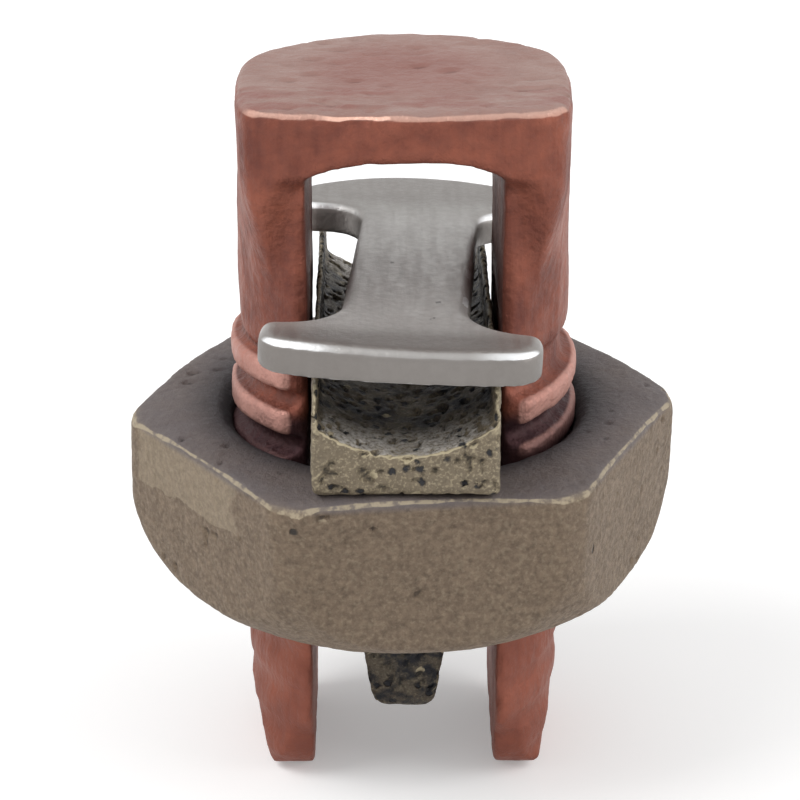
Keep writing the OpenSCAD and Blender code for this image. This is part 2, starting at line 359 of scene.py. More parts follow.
@dataclass(frozen=True)
class Pitting:
    """Scattered small cavities in a cast skin.

    Fields: size of a cavity and its depth, both in millimetres, the share of
    the noise that stays unpitted, and a seed.
    """

    size: float
    depth: float
    clear: float
    seed: float = 0.0

    def at(self, p: Vector) -> float:
        """Height of the layer at a point, in millimetres: nought or less."""
        q = p / self.size + Vector((self.seed, 5.1 * self.seed, 9.7))
        return -self.depth * min(max((noise.noise(q) - self.clear) / 0.16, 0.0), 1.0)


def roughen(obj: Object, layers: list[Relief | Pitting]) -> None:
    """Moves each vertex along its normal by the sum of the layers.

    Args:
        obj: the object, in millimetres.
        layers: the layers of unevenness.
    """
    with editing(obj) as bm:
        bm.normal_update()
        for v in bm.verts:
            v.co += v.normal * sum(layer.at(v.co) for layer in layers)


def to_metres(obj: Object) -> None:
    """Brings a finished piece from millimetres to the frame's metres.

    Args:
        obj: the piece.
    """
    with editing(obj) as bm:
        bmesh.ops.scale(bm, vec=(MM, MM, MM), verts=bm.verts)
        for face in bm.faces:
            face.smooth = True


# -------------------------------------------------------------------- shaders


class Graph:
    """Places and links shader nodes in one tree."""

    def __init__(self, tree: Tree) -> None:
        """Keeps the tree and clears what it held."""
        self.tree = tree
        tree.nodes.clear()

    def put(self, kind: str, **values: object) -> Node:
        """Adds a node.

        Args:
            kind: the node's type, such as ShaderNodeMath.
            values: node properties by name.

        Returns:
            The new node.
        """
        node = self.tree.nodes.new(kind)
        for key, value in values.items():
            setattr(node, key, value)
        return node

    def feed(self, socket: Socket, source: object) -> None:
        """Links a socket to another, or sets it to a plain value.

        Args:
            socket: the input.
            source: an output socket, or a value.
        """
        if isinstance(source, Socket):
            self.tree.links.new(source, socket)
        elif isinstance(source, tuple) and len(source) == 3 and socket.type == "RGBA":
            socket.default_value = (*source, 1.0)
        else:
            socket.default_value = source

    def math(self, operation: str, *terms: object) -> Socket:
        """A Math node's result.

        Args:
            operation: the node's operation.
            terms: sockets or numbers, one for each input.

        Returns:
            The result.
        """
        node = self.put("ShaderNodeMath", operation=operation)
        for socket, term in zip(node.inputs, terms):
            self.feed(socket, term)
        return node.outputs[0]

    def times(self, *terms: object) -> Socket:
        """The product of its terms."""
        return reduce(lambda a, b: self.math("MULTIPLY", a, b), terms)

    def most(self, *terms: object) -> Socket:
        """The greatest of its terms."""
        return reduce(lambda a, b: self.math("MAXIMUM", a, b), terms)

    def plus(self, *terms: object) -> Socket:
        """The sum of its terms."""
        return reduce(lambda a, b: self.math("ADD", a, b), terms)

    def size(self, term: object) -> Socket:
        """A value without its sign."""
        return self.math("ABSOLUTE", term)

    def inverse(self, term: object) -> Socket:
        """One divided by a value."""
        return self.math("DIVIDE", 1.0, term)

    def off_axis(self, x: Socket, y: Socket) -> Socket:
        """Distance from the Z axis."""
        return self.math("SQRT", self.plus(self.times(x, x), self.times(y, y)))

    def ramp(self, value: object, low: float, high: float, to_low: float = 0.0,
             to_high: float = 1.0) -> Socket:
        """A value mapped smoothly from one range to another, held at its ends.

        Args:
            value: the value.
            low: where the first range starts.
            high: where it ends.
            to_low: what its start becomes.
            to_high: what its end becomes.

        Returns:
            The mapped value.
        """
        node = self.put("ShaderNodeMapRange", interpolation_type="SMOOTHSTEP")
        for socket, term in zip(node.inputs, (value, low, high, to_low, to_high)):
            self.feed(socket, term)
        return node.outputs[0]

    def blend(self, mask: object, under: object, over: object) -> Socket:
        """Two colours mixed by a mask.

        Args:
            mask: how much of the second colour shows.
            under: the first colour.
            over: the second colour.

        Returns:
            The mixed colour.
        """
        node = self.put("ShaderNodeMix", data_type="RGBA")
        self.feed(node.inputs[0], mask)
        self.feed(node.inputs[6], under)
        self.feed(node.inputs[7], over)
        return node.outputs[2]

    def place(self) -> Socket:
        """The surface point in the object's own frame, in metres."""
        return self.put("ShaderNodeTexCoord").outputs["Object"]

    def facing(self) -> list[Socket]:
        """The surface's direction in the object's own frame, as three parts."""
        return self.split(self.put("ShaderNodeTexCoord").outputs["Normal"])

    def band(self, value: object, low: float, high: float, soft: float) -> Socket:
        """1 between two values and 0 outside them, with soft ends."""
        return self.times(self.ramp(value, low - soft, low),
                         self.ramp(value, high + soft, high))

    def noise(self, scale: object, where: Socket | None = None, **values: float) -> Node:
        """A noise texture of a scale, on the surface point if not told where.

        Args:
            scale: the texture's scale.
            where: the point to read it at.
            values: other inputs by name.

        Returns:
            The texture node.
        """
        node = self.put("ShaderNodeTexNoise")
        for key, value in {"Vector": where or self.place(), "Scale": scale, **values}.items():
            self.feed(node.inputs[key], value)
        return node

    def split(self, vector: Socket) -> list[Socket]:
        """The three parts of a vector.

        Args:
            vector: the vector.

        Returns:
            Its X, Y and Z.
        """
        node = self.put("ShaderNodeSeparateXYZ")
        self.feed(node.inputs[0], vector)
        return list(node.outputs)

    def group(self, tree: Tree, **values: object) -> dict[str, Socket]:
        """Places a node group and feeds its inputs by name.

        Args:
            tree: the group's tree.
            values: sockets or constants, with underscores for spaces in a name.

        Returns:
            The group's outputs by name.
        """
        node = self.put("ShaderNodeGroup", node_tree=tree)
        for key, value in values.items():
            self.feed(node.inputs[key.replace("_", " ")], value)
        return {out.name: out for out in node.outputs}


def new_group(name: str, ins: dict[str, str], outs: dict[str, str]) -> tuple[
        Tree, Graph, dict[str, Socket], dict[str, Socket]]:
    """Starts a shader node group.

    Args:
        name: the group's name.
        ins: socket type by input name.
        outs: socket type by output name.

    Returns:
        The tree, a graph on it, and what goes in and what comes out, by name.
    """
    tree = bpy.data.node_groups.new(name, "ShaderNodeTree")
    for key, kind in ins.items():
        tree.interface.new_socket(name=key, in_out="INPUT", socket_type=kind)
    for key, kind in outs.items():
        tree.interface.new_socket(name=key, in_out="OUTPUT", socket_type=kind)
    graph = Graph(tree)
    given, made = graph.put("NodeGroupInput").outputs, graph.put("NodeGroupOutput").inputs
    return tree, graph, {key: given[key] for key in ins}, {key: made[key] for key in outs}


FLOAT, VECTOR = "NodeSocketFloat", "NodeSocketVector"


class Effects:
    """The shader effects that the metals share, each a node group."""

    def __init__(self) -> None:
        """Builds every group once."""
        self.mottle = self._mottle()
        self.edge_wear = self._edge_wear()
        self.pits = self._pits()
        self.streaks = self._streaks()
        self.grain = self._grain()

    def cloud(self, g: Graph, size: float, contrast: float, seed: float) -> Socket:
        """Places the mottle in a material as a mask."""
        return g.group(self.mottle, Size=size, Contrast=contrast, Seed=seed)["Mask"]

    def lines(self, g: Graph, width: float, stretch: tuple[float, float, float]) -> Socket:
        """Places the streaks in a material as a mask."""
        return g.group(self.streaks, Width=width, Stretch=stretch)["Mask"]

    def pitting(self, g: Graph, spacing: float, radius: float, share: float) -> Socket:
        """Places the pits in a material as a mask."""
        return g.group(self.pits, Spacing=spacing, Radius=radius, Share=share)["Mask"]

    def wear(self, g: Graph, patch: float, patchiness: float) -> dict[str, Socket]:
        """Places the edge wear in a material: its Edge and Hollow masks."""
        return g.group(self.edge_wear, Sharpness=1.0, Patch_Size=patch, Patchiness=patchiness)

    @staticmethod
    def _mottle() -> Tree:
        """Soft blotches: two sizes of cloud, as a mask."""
        tree, g, i, o = new_group(
            "mottle", {"Size": FLOAT, "Contrast": FLOAT, "Seed": FLOAT}, {"Mask": FLOAT})
        where = g.put("ShaderNodeVectorMath", operation="ADD")
        g.feed(where.inputs[0], g.place())
        g.feed(where.inputs[1], i["Seed"])
        cloud = g.noise(g.inverse(i["Size"]), where.outputs[0],
                        Detail=5.0, Roughness=0.62)
        half = g.times(i["Contrast"], 0.5)
        low = g.math("SUBTRACT", 0.5, half)
        high = g.plus(0.5, half)
        g.feed(o["Mask"], g.ramp(cloud.outputs[0], low, high))
        return tree

    @staticmethod
    def _edge_wear() -> Tree:
        """Where an outward edge is rubbed, in patches, and where the surface is hollow, for darkening.
        """
        tree, g, i, o = new_group(
            "edge_wear", {"Sharpness": FLOAT, "Patch Size": FLOAT, "Patchiness": FLOAT},
            {"Edge": FLOAT, "Hollow": FLOAT})
        bend = g.put("ShaderNodeNewGeometry").outputs["Pointiness"]
        rough = g.noise(g.inverse(i["Patch Size"]), Detail=4.0)
        patch = g.ramp(rough.outputs[0], 0.40, 0.60, g.math("SUBTRACT", 1.0, i["Patchiness"]))
        reach = g.math("DIVIDE", 0.05, i["Sharpness"])
        edge = g.ramp(bend, g.plus(0.5, g.times(reach, 0.55)),
                      g.plus(0.5, g.times(reach, 1.4)))
        g.feed(o["Edge"], g.times(edge, patch))
        g.feed(o["Hollow"], g.ramp(
            bend, g.math("SUBTRACT", 0.5, reach),
            g.math("SUBTRACT", 0.5, g.times(reach, 0.2)), 1.0, 0.0))
        return tree

    @staticmethod
    def _pits() -> Tree:
        """Scattered small round pits, as a mask."""
        tree, g, i, o = new_group(
            "pits", {"Spacing": FLOAT, "Radius": FLOAT, "Share": FLOAT}, {"Mask": FLOAT})
        bent = g.noise(g.math("DIVIDE", 2.5, i["Spacing"]))
        push = g.put("ShaderNodeVectorMath", operation="MULTIPLY_ADD")
        g.feed(push.inputs[0], bent.outputs["Color"])
        g.feed(push.inputs[1], g.times(i["Spacing"], 0.55))
        g.feed(push.inputs[2], g.place())
        cells = g.put("ShaderNodeTexVoronoi", feature="F1")
        g.feed(cells.inputs["Vector"], push.outputs[0])
        g.feed(cells.inputs["Scale"], g.inverse(i["Spacing"]))
        near = g.ramp(cells.outputs["Distance"], g.times(i["Radius"], 0.55),
                      i["Radius"], 1.0, 0.0)
        chosen = g.math("LESS_THAN", g.split(cells.outputs["Color"])[0], i["Share"])
        g.feed(o["Mask"], g.times(near, chosen))
        return tree

    @staticmethod
    def _streaks() -> Tree:
        """Fine lines drawn out along one direction, as a mask."""
        tree, g, i, o = new_group(
            "streaks", {"Width": FLOAT, "Stretch": VECTOR}, {"Mask": FLOAT})
        where = g.put("ShaderNodeVectorMath", operation="MULTIPLY")
        g.feed(where.inputs[0], g.place())
        g.feed(where.inputs[1], i["Stretch"])
        lines = g.noise(g.inverse(i["Width"]), where.outputs[0], Detail=3.0)
        g.feed(o["Mask"], g.ramp(lines.outputs[0], 0.36, 0.66))
        return tree

    @staticmethod
    def _grain() -> Tree:
        """Sandy grain of a cast skin: a height and a mask of its specks."""
        tree, g, i, o = new_group(
            "grain", {"Size": FLOAT}, {"Height": FLOAT, "Speck": FLOAT})
        scale = g.inverse(i["Size"])
        g.feed(o["Height"], g.noise(scale, Detail=6.0, Roughness=0.7).outputs[0])
        specks = g.noise(g.times(scale, 1.7), Detail=2.0)
        g.feed(o["Speck"], g.ramp(specks.outputs[0], 0.50, 0.66))
        return tree


class Coat:
    """A material's colour, built up layer on layer."""

    def __init__(self, g: Graph, first: Socket) -> None:
        """Starts from a first colour."""
        self.g, self.colour = g, first

    def over(self, colour: Colour, *masks: object) -> None:
        """Lays a colour over the others where all of its masks are."""
        self.colour = self.g.blend(self.g.times(*masks), self.colour, colour)


def new_material(name: str) -> tuple[Material, Graph, Node]:
    """Starts a material with one Principled BSDF.

    Args:
        name: the material's name.

    Returns:
        The material, a graph on its tree and the shader node.
    """
    material = bpy.data.materials.new(name)
    material.use_nodes = True
    graph = Graph(material.node_tree)
    shader = graph.put("ShaderNodeBsdfPrincipled")
    out = graph.put("ShaderNodeOutputMaterial")
    graph.feed(out.inputs["Surface"], shader.outputs[0])
    return material, graph, shader


def bumps(g: Graph, shader: Node, *layers: tuple[object, float]) -> None:
    """Bends a shader's normal by layers of height, each with its distance, the finest first.

    Args:
        g: the material's graph.
        shader: the shader node.
        layers: a height and its distance in metres for each layer.
    """
    under = None
    for height, distance in layers:
        node = g.put("ShaderNodeBump")
        g.feed(node.inputs["Height"], height)
        g.feed(node.inputs["Distance"], distance)
        if under is not None:
            g.feed(node.inputs["Normal"], under)
        under = node.outputs[0]
    g.feed(shader.inputs["Normal"], under)


@dataclass(frozen=True)
class TarnishedCopper:
    """Forged copper alloy with a red-brown skin, rubbed bright on its threads, with painted shade by
    the nut and a painted highlight on the head's front rim.
    """

    skin_light: Colour = (0.300, 0.096, 0.060)
    skin_dark: Colour = (0.140, 0.044, 0.033)
    top_grey: Colour = (0.365, 0.245, 0.215)
    rubbed: Colour = (0.560, 0.300, 0.250)
    grime: Colour = (0.060, 0.032, 0.030)
    shade_at_nut: Colour = (0.032, 0.016, 0.022)
    bright: Colour = (0.780, 0.480, 0.380)
    smear: Colour = (0.250, 0.080, 0.065)
    inner_reach: float = 0.00605
    crest: Span = (0.01068, 0.01092)
    thread_end: Span = (0.0306, 0.0302)
    pale_from: Span = (0.0236, 0.0262)
    worn_below: Span = (0.0135, 0.0125)
    shade_at_nut_band: Span = (0.0140, 0.0262)
    clean_below: Span = (0.0128, 0.0112)
    top: Span = (0.0461, 0.0465)
    crown: Span = (0.0085, 0.0030)
    smeared: Span = (-0.0078, -0.0040)
    rim: Span = (0.0452, 0.0458)
    chip: Span = (-0.0045, -0.0012)
    slot_top: Span = (0.0432, 0.0420)
    slot_grime: Span = (0.010, 0.026)

    def make(self, fx: Effects) -> Material:
        """Builds the material.

        Args:
            fx: the shared effects.

        Returns:
            The material.
        """
        m, g, shader = new_material("tarnished_copper")
        x, y, z = g.split(g.place())
        _, outward, up = g.facing()
        radius = g.off_axis(x, y)
        cloud, fine = fx.cloud(g, 0.0035, 0.5, 1.0), fx.cloud(g, 0.0007, 0.55, 4.0)
        lines, smears = fx.lines(g, 0.0009, (1.0, 1.0, 0.10)), fx.lines(g, 0.0011, (0.30, 1.0, 1.0))
        wear = fx.wear(g, 0.0009, 0.8)
        coat = Coat(g, g.blend(cloud, self.skin_dark, self.skin_light))
        coat.over(self.skin_light, lines, 0.30)
        coat.over(self.grime, fine, 0.22)
        top = g.ramp(z, *self.top)
        coat.over(self.top_grey, top, g.ramp(fx.cloud(g, 0.0050, 0.7, 9.0), 0.0, 1.0, 0.62, 1.0))
        smears = g.times(smears, g.band(y, *self.smeared, 0.0012), 0.5)
        coat.over(self.smear, top, g.most(smears, g.ramp(radius, *self.crown, 0.0, 0.42)))
        # Painted shade, with grime: a dark band on the legs where they pass through the nut and just
        # above it.
        coat.over(self.shade_at_nut, g.band(z, *self.shade_at_nut_band, 0.0012), 0.86)
        coat.over(self.skin_light, g.ramp(z, *self.clean_below, 0.0, 0.40))
        level = g.most(g.ramp(z, *self.pale_from), g.ramp(z, *self.worn_below, 0.0, 0.35))
        coat.over(self.rubbed, g.ramp(radius, *self.crest), g.ramp(z, *self.thread_end), level,
                  g.ramp(cloud, 0.0, 1.0, 0.95, 0.55))
        # Painted highlight along the head's rounded front top rim, brightest at the worn chip.
        coat.over(self.bright, g.band(up, 0.50, 0.78, 0.12), g.ramp(z, *self.rim),
                  g.ramp(outward, -0.20, -0.50), g.most(g.band(x, *self.chip, 0.0008), 0.42))
        inner = g.times(g.ramp(g.size(x), self.inner_reach, self.inner_reach - 0.00012),
                        g.ramp(z, *self.slot_top), g.ramp(z, *self.slot_grime, 0.0, 0.62))
        coat.over(self.grime, g.most(inner, g.times(wear["Hollow"], 0.65)))
        g.feed(shader.inputs["Base Color"], coat.colour)
        shader.inputs["Metallic"].default_value = 0.50
        shader.inputs["Specular IOR Level"].default_value = 0.25
        uneven = g.plus(g.times(cloud, 0.5), g.times(fine, 0.5))
        g.feed(shader.inputs["Roughness"], g.ramp(uneven, 0.0, 1.0, 0.62, 0.44))
        bumps(g, shader, (fine, 0.00006), (lines, 0.00004), (cloud, 0.00010))
        return m


@dataclass(frozen=True)
class CastBronze:
    """Sand-cast bronze: speckled skin, rubbed upper edges with a painted highlight, painted shade round
    the bore, a darker faced top.
    """

    skin_light: Colour = (0.215, 0.155, 0.104)
    skin_dark: Colour = (0.105, 0.074, 0.050)
    faced: Colour = (0.135, 0.116, 0.118)
    rubbed: Colour = (0.460, 0.385, 0.270)
    grime: Colour = (0.016, 0.013, 0.017)
    pit: Colour = (0.012, 0.010, 0.009)
    top_z: float = 0.02475
    bore_r: float = 0.0112
    bore_shade_r: float = 0.0150
    pad_deep: float = 0.0036
    pad_across: Span = (-0.0162, -0.0102)
    pad_back: Span = (-0.0020, -0.0022)

    def make(self, fx: Effects) -> Material:
        """Builds the material.

        Args:
            fx: the shared effects.

        Returns:
            The material.
        """
        m, g, shader = new_material("cast_bronze")
        x, y, z = g.split(g.place())
        radius, up = g.off_axis(x, y), g.facing()[2]
        cloud, ragged = fx.cloud(g, 0.0045, 0.6, 2.0), fx.cloud(g, 0.0009, 0.5, 8.0)
        grain = g.group(fx.grain, Size=0.00042)
        pits, wear = fx.pitting(g, 0.0030, 0.12, 0.10), fx.wear(g, 0.0010, 0.6)
        coat = Coat(g, g.blend(g.ramp(grain["Height"], 0.28, 0.72), self.skin_dark, self.skin_light))
        coat.over(self.rubbed, grain["Speck"], 0.16)
        coat.over(self.skin_light, cloud, 0.25)
        coat.over(self.rubbed, g.band(g.plus(z, g.times(cloud, 0.0008)),
                                      self.top_z - self.pad_deep, self.top_z, 0.0001),
                  g.band(g.plus(x, g.times(cloud, 0.0012)), *self.pad_across, 0.0003),
                  g.ramp(y, *self.pad_back, 0.0, 0.26))
        coat.over(self.faced, g.ramp(z, self.top_z - 0.0009, self.top_z - 0.0003),
                  g.ramp(cloud, 0.0, 1.0, 0.95, 0.75))
        # Pale line on the rounded top edge: rubbed wear with a painted highlight, kept outside the bore
        # shade.
        coat.over(self.rubbed, g.ramp(ragged, 0.20, 0.60, 0.20, 0.90), g.band(up, 0.38, 0.72, 0.12),
                  g.ramp(z, self.top_z - 0.0014, self.top_z - 0.0009),
                  g.ramp(radius, self.bore_shade_r, self.bore_shade_r + 0.0003, 0.0, 0.85))
        # Painted shade, with grime: the top face darkens towards the bore and its countersink.
        ring = g.times(g.ramp(radius, self.bore_shade_r, self.bore_r + 0.0004), 0.94)
        coat.over(self.grime, g.most(ring, g.times(wear["Hollow"], 0.5)))
        coat.over(self.pit, pits, 0.9)
        g.feed(shader.inputs["Base Color"], coat.colour)
        shader.inputs["Metallic"].default_value = 0.30
        g.feed(shader.inputs["Roughness"], g.ramp(grain["Height"], 0.2, 0.8, 0.72, 0.52))
        bumps(g, shader, (grain["Height"], 0.00016), (g.times(pits, -1.0), 0.00025))
        return m


@dataclass(frozen=True)
class PittedBrass:
    """Cast brass full of dark pits, with painted shade nearly black in the covered groove and on the
    stem, and painted light at the groove's open ends.
    """

    skin_light: Colour = (0.270, 0.215, 0.140)
    skin_dark: Colour = (0.085, 0.070, 0.055)
    black: Colour = (0.010, 0.012, 0.018)
    rubbed: Colour = (0.560, 0.480, 0.320)
    mouth_highlight: Colour = (0.780, 0.750, 0.720)
    stem_shade_below: Span = (0.0246, 0.0242)
    groove_from: Span = (0.0272, 0.0278)
    groove_shade: Span = (0.0138, 0.0112)
    mouth_from: Span = (0.0274, 0.0277)
    mouth: Span = (0.0112, 0.0140)
    ridge_from: Span = (0.0266, 0.0272)

    def make(self, fx: Effects) -> Material:
        """Builds the material.

        Args:
            fx: the shared effects.

        Returns:
            The material.
        """
        m, g, shader = new_material("pitted_brass")
        _, y, z = g.split(g.place())
        _, outward, up = g.facing()
        cloud, grain = fx.cloud(g, 0.0016, 0.45, 6.0), g.group(fx.grain, Size=0.00030)
        pits, wear = fx.pitting(g, 0.00085, 0.36, 0.42), fx.wear(g, 0.0006, 0.5)
        coat = Coat(g, g.blend(grain["Height"], self.skin_dark, self.skin_light))
        coat.over(self.skin_light, cloud, 0.35)
        coat.over(self.rubbed, grain["Speck"], 0.35)
        # Painted shade: nearly black on the groove floor away from its open ends, under the plate, and
        # on the stem below the bar.
        deep = g.times(g.ramp(g.size(y), *self.groove_shade), g.ramp(z, *self.groove_from))
        coat.over(self.black, g.most(deep, g.ramp(z, *self.stem_shade_below)),
                  g.ramp(cloud, 0.15, 0.7, 0.97, 0.45))
        # Painted light: pale flecks on the up-facing groove floor near its open ends.
        coat.over(self.mouth_highlight, g.ramp(g.size(y), *self.mouth), g.ramp(z, *self.mouth_from),
                  g.ramp(up, 0.75, 0.90, 0.0, 0.75), g.ramp(grain["Height"], 0.30, 0.65))
        # Painted highlight with rubbed wear along the bar's rounded upper edges, joined with the rubbed
        # edges of the wear mask.
        ridge = g.times(g.band(up, 0.50, 0.72, 0.10), g.ramp(g.size(outward), 0.45, 0.60),
                        g.ramp(z, *self.ridge_from, 0.0, 0.9))
        coat.over(self.rubbed, g.most(ridge, g.times(wear["Edge"], 0.75)))
        coat.over(self.black, g.most(g.times(pits, 0.95), g.times(wear["Hollow"], 0.6)))
        g.feed(shader.inputs["Base Color"], coat.colour)
        shader.inputs["Metallic"].default_value = 0.40
        g.feed(shader.inputs["Roughness"], g.ramp(grain["Height"], 0.2, 0.8, 0.62, 0.38))
        bumps(g, shader, (grain["Height"], 0.00020), (g.times(pits, -1.0), 0.00022))
        return m


@dataclass(frozen=True)
class TinPlate:
    """Satin tin over copper, with a painted highlight and rubbed wear on its rounded edges and painted
    shade towards its ends.
    """

    satin: Colour = (0.560, 0.548, 0.525)
    shade: Colour = (0.440, 0.420, 0.405)
    sheared_and_shade: Colour = (0.200, 0.183, 0.170)
    bright: Colour = (0.860, 0.870, 0.880)
    grime: Colour = (0.080, 0.075, 0.070)
    front_shade: Span = (-0.0120, -0.0145)
    rear_shade: Span = (0.0065, 0.0120)
    gleam_out: Span = (0.0035, 0.0065)

    def make(self, fx: Effects) -> Material:
        """Builds the material.

        Args:
            fx: the shared effects.

        Returns:
            The material.
        """
        m, g, shader = new_material("tin_plate")
        x, y, _ = g.split(g.place())
        _, outward, up = g.facing()
        cloud, fine = fx.cloud(g, 0.0060, 0.7, 3.0), fx.cloud(g, 0.0005, 0.6, 5.0)
        lines, spots = fx.lines(g, 0.0006, (1.0, 0.10, 1.0)), fx.pitting(g, 0.0022, 0.12, 0.25)
        wear = fx.wear(g, 0.0010, 0.4)
        coat = Coat(g, g.blend(cloud, self.shade, self.satin))
        coat.over(self.shade, lines, 0.18)
        coat.over(self.grime, fine, 0.12)
        coat.over(self.sheared_and_shade, g.ramp(g.size(up), 0.65, 0.25), g.ramp(cloud, 0.0, 1.0, 0.95, 0.75))
        # Painted shade towards the plate's front and rear ends.
        coat.over(self.sheared_and_shade, g.most(g.ramp(y, *self.front_shade, 0.0, 0.70),
                                       g.ramp(y, *self.rear_shade, 0.0, 0.75)))
        # Painted highlight on the rounded top front edge, strongest towards the ends, then bright
        # rubbed edges from the wear mask.
        coat.over(self.bright, g.band(up, 0.50, 0.86, 0.10), g.ramp(outward, -0.25, -0.45),
                  g.ramp(g.size(x), *self.gleam_out, 0.12, 0.90))
        coat.over(self.bright, wear["Edge"], 0.6)
        coat.over(self.grime, g.most(g.times(spots, 0.6), g.times(wear["Hollow"], 0.35)))
        g.feed(shader.inputs["Base Color"], coat.colour)
        shader.inputs["Metallic"].default_value = 0.70
        uneven = g.plus(g.times(fine, 0.6), g.times(lines, 0.4))
        g.feed(shader.inputs["Roughness"], g.ramp(uneven, 0.0, 1.0, 0.38, 0.50))
        bumps(g, shader, (fine, 0.00002), (lines, 0.00001))
        return m


# --------------------------------------------------------------------- pieces


@dataclass
class SplitBolt:
    """The forged bolt: head, bridge, two legs and their thread. Sizes in mm."""

    shank_r: float = 10.5
    crest_r: float = 11.15
    root_r: float = 10.05
    pitch: float = 3.0
    crest_w: float = 1.35
    flank_w: float = 0.4
    crest_at_front_left: float = 29.35
    front_left_angle: float = 228.0
    slot_half: float = 5.95
    slot_h: float = 43.5
    arch_drop: float = 0.9
    throat_z: float = 40.3
    leg_half: float = 8.1
    leg_corner_r: float = 0.8
    head_front: float = 9.6
    head_front_r: float = 45.0
    head_back: float = 9.55
    head_back_r: float = 12.2
    head_half_w: float = 10.4
    head_side_r: float = 130.0
    height: float = 46.65
    rim: float = 0.7
    crown: float = 0.05
    shank_top: float = 34.5
    fades_below: float = 13.2
    chip_x: float = -2.8
    chip_w: float = 1.5
    dent: float = 0.35
    cell: float = 0.235
    nose_r: float = 3.3
    toe_r: float = 1.15
    end_round: tuple[Point, ...] = (
        (0.0, 0.0), (10.2, 0.0), (10.3, 2.0), (10.45, 3.1), (10.7, 4.6), (10.9, 6.5))
    end_front: tuple[Point, ...] = (
        (9.05, 0.0), (9.2, 1.8), (9.4, 2.7), (9.8, 4.0), (10.1, 5.5), (10.5, 7.0),
        (11.3, 9.5), (12.6, 12.0), (12.6, 50.0))
    end_side: tuple[Point, ...] = ((6.6, 0.0), (6.75, 3.6), (12.6, 10.8), (12.6, 50.0))

    def _envelope(self) -> BMesh:
        """Turned outer form, from the tapered leg ends to the shank's top."""
        clear = self.crest_r + 3.0
        pts = [*self.end_round, (self.crest_r, 9.0), (clear, 24.0), (clear, 48.0), (0.0, 48.0)]
        return lathe(pts, 96)

    def _rod(self) -> BMesh:
        """Plain rod under the thread and the shank above it."""
        top = self.crest_at_front_left + 0.9
        return lathe([(0.0, -4.0), (self.root_r, -4.0), (self.root_r, top),
                      (self.shank_r, top + 0.4), (self.shank_r, self.shank_top),
                      (0.0, self.shank_top)])

    def _ridge(self) -> BMesh:
        """The thread's ridge, swept up its right-handed helix and run out at the top."""
        turns, steps = 12, 72
        half, flank = self.crest_w / 2, self.flank_w
        start_angle = math.radians(self.front_left_angle)
        foot = self.crest_at_front_left - (turns - 0.35) * self.pitch
        bm = bmesh.new()
        inner = self.root_r - 0.8
        section = [(inner, -half - flank), (self.root_r, -half - flank), (self.crest_r, -half),
                   (self.crest_r, half), (self.root_r, half + flank), (inner, half + flank)]
        first = start_angle - (turns - 0.35) * FULL_TURN
        verts = [bm.verts.new((r * math.cos(first), r * math.sin(first), foot + z))
                 for r, z in section]
        face = bm.faces.new(verts)
        bmesh.ops.spin(
            bm, geom=[face, *face.edges, *face.verts], cent=(0, 0, 0), axis=(0, 0, 1),
            dvec=(0, 0, self.pitch / steps), angle=FULL_TURN * turns, steps=steps * turns)
        bmesh.ops.remove_doubles(bm, verts=bm.verts, dist=1e-5)
        run_out = self.crest_at_front_left + 0.1
        for v in bm.verts:
            r = math.hypot(v.co.x, v.co.y)
            angle = math.atan2(v.co.y, v.co.x) % FULL_TURN
            turn_z = self.crest_at_front_left + self.pitch * (angle - start_angle) / FULL_TURN
            level = round((v.co.z - turn_z) / self.pitch) * self.pitch + turn_z
            fade = min(max((level - run_out) / 0.8, 0.0), 1.0)
            if r > self.root_r + 0.01:
                worn = 0.8 * min(max((self.fades_below - level) / 1.2, 0.0), 1.0)
                keep = (self.root_r - 0.2 - r) * fade + (self.root_r - r) * worn
                v.co.x += v.co.x / r * keep
                v.co.y += v.co.y / r * keep
        bmesh.ops.recalc_face_normals(bm, faces=bm.faces)
        return bm

    def _leg_plan(self, side: int) -> BMesh:
        """One leg's plan, drawn up past the throat, with rounded upright corners.

        Args:
            side: 1 for the right leg, -1 for the left.

        Returns:
            The solid.
        """
        a, b, far = self.slot_half * side, self.leg_half, CLEAR * side
        bm = outline([(a, -b), (far, -b), (far, b), (a, b)])
        ease(bm, [(a, -b), (a, b)], self.leg_corner_r)
        return prism(bm, -1.0, self.throat_z + 0.2)

    @staticmethod
    def _view(half: tuple[Point, ...], foot_r: float, along: Axis) -> BMesh:
        """Both legs seen along an axis: half of their outline, mirrored and drawn through.

        Args:
            half: the outline's right half, from the foot up.
            foot_r: rounding of the foot's corners.
            along: the axis.

        Returns:
            The solid.
        """
        bm = outline([(-x, z) for x, z in half] + list(half[::-1]))
        ease(bm, [(-half[0][0], 0.0), half[0]], foot_r)
        return prism(bm, -CLEAR, CLEAR, along)

    def _reach(self, angle: float, z: float) -> float:
        """Radius of the upper bolt: the head's plan, drawn in to the legs' below it.

        Args:
            angle: direction in the plan.
            z: height.

        Returns:
            The radius.
        """
        c, s = math.cos(angle), math.sin(angle)
        side = self.head_side_r - self.head_half_w
        rims = ((0.0, self.head_front_r - self.head_front, self.head_front_r),
                (0.0, self.head_back - self.head_back_r, self.head_back_r),
                (side, 1.5, self.head_side_r), (-side, 1.5, self.head_side_r))
        far = [c * x + s * y + math.sqrt((c * x + s * y) ** 2 - x * x - y * y + r * r)
               for x, y, r in rims]
        head = sum(d ** -16 for d in far) ** (-1 / 16)
        leg = (self.shank_r ** -30 + (self.leg_half / max(abs(s), 0.1)) ** -30) ** (-1 / 30)
        outer = min(max((abs(head * c) - 7.4) / 1.9, 0.0), 1.0)
        start = self.slot_h - 1.9 - 8.0 * outer
        t = min(max((z - start) / (self.slot_h - 0.9 - start), 0.0), 1.0)
        return leg + (head - leg) * t * t * (3.0 - 2.0 * t)

